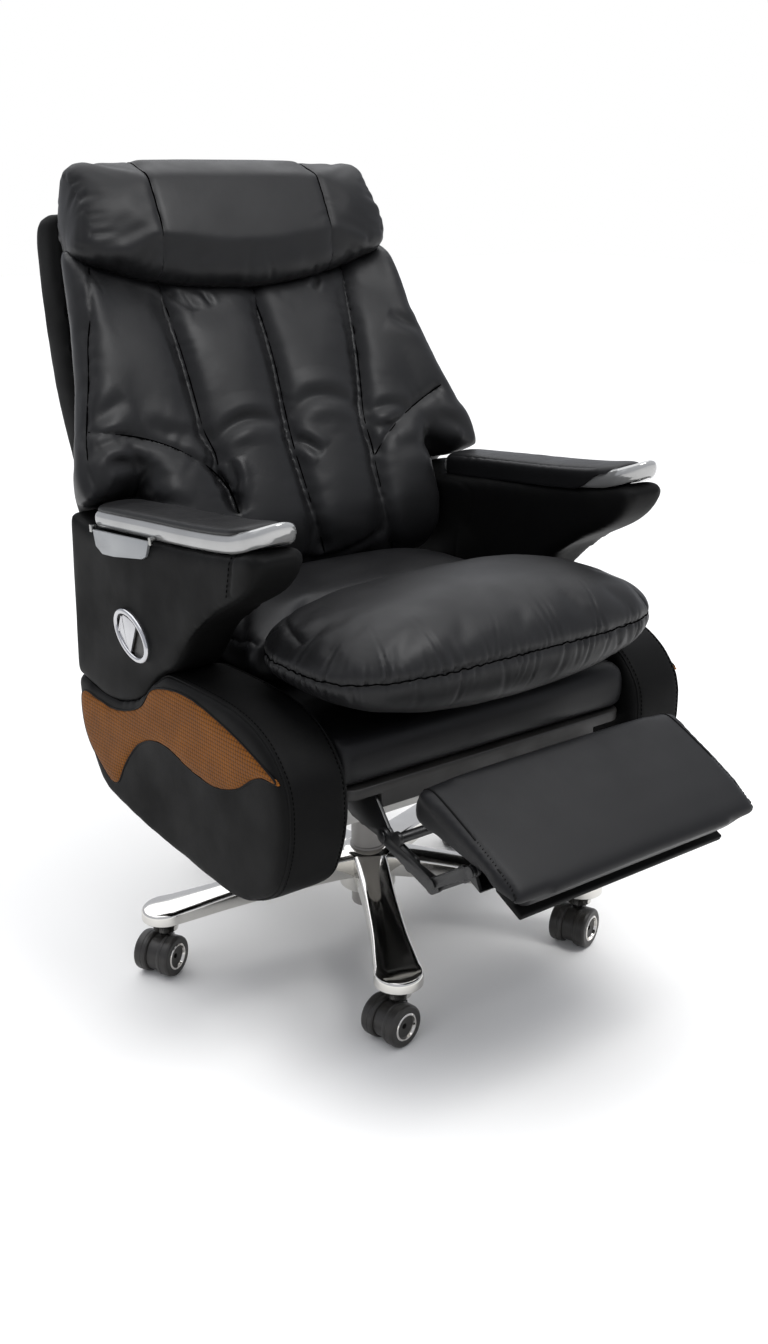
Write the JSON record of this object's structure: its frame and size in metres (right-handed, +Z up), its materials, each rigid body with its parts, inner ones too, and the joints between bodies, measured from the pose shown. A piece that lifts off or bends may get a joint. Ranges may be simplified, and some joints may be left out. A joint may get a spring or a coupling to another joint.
{
  "type": "office recliner chair",
  "caption": "High-backed padded office recliner on a polished star base with twin-wheel casters, gas lift and fold-out bar-linkage footrest.",
  "frame": {"origin": "floor point on the swivel axis, where the chair rests on its casters", "axes": "+Z up; the chair faces -Y, so +Y points to its back and -X is the sitter's right"},
  "size_m": [0.7222, 1.0326, 1.124],
  "materials": {
    "polished_base": "mirror-polished plated casting",
    "bright_ring": "polished pressed ring",
    "caster_plastic": "black moulded nylon with a fine satin grain",
    "bare_steel": "turned bright steel",
    "grey_tube": "smooth grey lacquer",
    "grey_steel": "satin grey powder coat",
    "black_steel": "semi-gloss black powder coat",
    "black_board": "black-faced board",
    "woven_insert": "tan and copper basket weave",
    "chrome_trim": "polished plated bumper",
    "chrome_handle": "polished plated moulding",
    "satin_paddle": "satin brushed plate",
    "matte_leather": "matte black bonded leather",
    "black_leather": "smooth black leather with a soft sheen, seams and gathers"
  },
  "bodies": {
    "base": {"star_base": "polished_base", "caster_stems": "bare_steel", "gas_tube": "grey_tube"},
    "piston": {"gas_piston": "bare_steel"},
    "seat": {"tilt_housing": "black_steel", "mounting_rails": "black_steel", "cross_plate": "grey_steel", "seat_board": "black_board", "base_pad": "black_leather", "seat_pad": "black_leather", "front_pillow": "black_leather", "right_panel": "matte_leather", "left_panel": "matte_leather", "right_insert": "woven_insert", "left_insert": "woven_insert", "right_armrest": "black_leather", "left_armrest": "black_leather", "right_trim": "chrome_trim", "left_trim": "chrome_trim", "right_arm_pad": "black_leather", "left_arm_pad": "black_leather", "handle_bezel": "chrome_handle", "paddle_pin": "bare_steel", "hinge_plates": "black_steel", "hinge_pins": "bare_steel", "link_brackets": "black_steel"},
    "backrest": {"back_arms": "black_steel", "back_shell": "black_leather", "back_cushion": "black_leather", "headrest": "black_leather"},
    "swing_arms": {"swing_arms": "black_steel", "cross_tube": "black_steel"},
    "guide_arms": {"guide_arms": "black_steel"},
    "couplers": {"couplers": "black_steel"},
    "pad_links": {"pad_links": "black_steel"},
    "footrest": {"pad_brackets": "black_steel", "footrest_board": "black_board", "footrest_pad": "black_leather"},
    "release_flap": {"handle_flap": "chrome_handle"},
    "lift_paddle": {"height_paddle": "satin_paddle"},
    "caster_1": {"caster_1_fork": "caster_plastic"},
    "wheels_1": {"caster_1_axle": "bare_steel", "caster_1_wheels": "caster_plastic", "caster_1_rings": "bright_ring"},
    "caster_2": {"caster_2_fork": "caster_plastic"},
    "wheels_2": {"caster_2_axle": "bare_steel", "caster_2_wheels": "caster_plastic", "caster_2_rings": "bright_ring"},
    "caster_3": {"caster_3_fork": "caster_plastic"},
    "wheels_3": {"caster_3_axle": "bare_steel", "caster_3_wheels": "caster_plastic", "caster_3_rings": "bright_ring"},
    "caster_4": {"caster_4_fork": "caster_plastic"},
    "wheels_4": {"caster_4_axle": "bare_steel", "caster_4_wheels": "caster_plastic", "caster_4_rings": "bright_ring"},
    "caster_5": {"caster_5_fork": "caster_plastic"},
    "wheels_5": {"caster_5_axle": "bare_steel", "caster_5_wheels": "caster_plastic", "caster_5_rings": "bright_ring"}
  },
  "joints": [
    {"name": "lift", "type": "slide", "parent": "base", "child": "piston", "axis": [0, 0, 1], "range_m": [0, 0.08]},
    {"name": "swivel", "type": "hinge", "parent": "piston", "child": "seat", "pos_m": [0, 0, 0.3], "axis": [0, 0, 1], "continuous": true},
    {"name": "recline", "type": "hinge", "parent": "seat", "child": "backrest", "pos_m": [0, 0.195, 0.43], "axis": [-1, 0, 0], "range_deg": [0, 40]},
    {"name": "footrest_fold", "type": "hinge", "parent": "seat", "child": "swing_arms", "pos_m": [0, -0.296, 0.3115], "axis": [1, 0, 0], "range_deg": [0, 104.5]},
    {"name": "guide_turn", "type": "hinge", "parent": "seat", "child": "guide_arms", "pos_m": [0, -0.246, 0.3195], "axis": [1, 0, 0], "range_deg": [0, 104.5]},
    {"name": "coupler_turn", "type": "hinge", "parent": "swing_arms", "child": "couplers", "pos_m": [0, -0.392, 0.28], "axis": [1, 0, 0], "range_deg": [-104.5, 0]},
    {"name": "footrest_turn", "type": "hinge", "parent": "couplers", "child": "footrest", "pos_m": [0, -0.445, 0.315], "axis": [1, 0, 0], "range_deg": [0, 60]},
    {"name": "pad_link_turn", "type": "hinge", "parent": "swing_arms", "child": "pad_links", "pos_m": [0, -0.401, 0.2885], "axis": [1, 0, 0], "range_deg": [-96, 0]},
    {"name": "flap_pull", "type": "hinge", "parent": "seat", "child": "release_flap", "pos_m": [-0.3548, 0.08036, 0.53174], "axis": [0, 0.4067, -0.9135], "range_deg": [0, 20], "stiffness_Nm_per_rad": 0.15, "springref_deg": -5.73},
    {"name": "paddle_lift", "type": "hinge", "parent": "seat", "child": "lift_paddle", "pos_m": [-0.3528, 0.14984, 0.64569], "axis": [0, 0.9967, -0.0813], "range_deg": [0, 15], "stiffness_Nm_per_rad": 0.5, "springref_deg": -5.73},
    {"name": "caster_1_turn", "type": "hinge", "parent": "base", "child": "caster_1", "pos_m": [-0.163, -0.28232, 0.06], "axis": [0, 0, 1], "continuous": true},
    {"name": "wheels_1_roll", "type": "hinge", "parent": "caster_1", "child": "wheels_1", "pos_m": [-0.17782, -0.28467, 0.03], "axis": [0.1564, -0.9877, 0], "continuous": true},
    {"name": "caster_2_turn", "type": "hinge", "parent": "base", "child": "caster_2", "pos_m": [0.21814, -0.24227, 0.06], "axis": [0, 0, 1], "continuous": true},
    {"name": "wheels_2_roll", "type": "hinge", "parent": "caster_2", "child": "wheels_2", "pos_m": [0.20404, -0.2474, 0.03], "axis": [0.342, -0.9397, 0], "continuous": true},
    {"name": "caster_3_turn", "type": "hinge", "parent": "base", "child": "caster_3", "pos_m": [0.29782, 0.1326, 0.06], "axis": [0, 0, 1], "continuous": true},
    {"name": "wheels_3_roll", "type": "hinge", "parent": "caster_3", "child": "wheels_3", "pos_m": [0.29032, 0.11961, 0.03], "axis": [0.866, -0.5, 0], "continuous": true},
    {"name": "caster_4_turn", "type": "hinge", "parent": "base", "child": "caster_4", "pos_m": [-0.03408, 0.32421, 0.06], "axis": [0, 0, 1], "continuous": true},
    {"name": "wheels_4_roll", "type": "hinge", "parent": "caster_4", "child": "wheels_4", "pos_m": [-0.04817, 0.32934, 0.03], "axis": [-0.342, -0.9397, 0], "continuous": true},
    {"name": "caster_5_turn", "type": "hinge", "parent": "base", "child": "caster_5", "pos_m": [-0.31888, 0.06778, 0.06], "axis": [0, 0, 1], "continuous": true},
    {"name": "wheels_5_roll", "type": "hinge", "parent": "caster_5", "child": "wheels_5", "pos_m": [-0.33236, 0.0612, 0.03], "axis": [0.4384, -0.8988, 0], "continuous": true}
  ],
  "couplings": [
    {"joint": "guide_turn", "follows": "footrest_fold", "ratio": 1},
    {"joint": "coupler_turn", "follows": "footrest_fold", "ratio": -1},
    {"joint": "footrest_turn", "follows": "footrest_fold", "ratio": 0.5741},
    {"joint": "pad_link_turn", "follows": "footrest_fold", "ratio": -0.913}
  ]
}
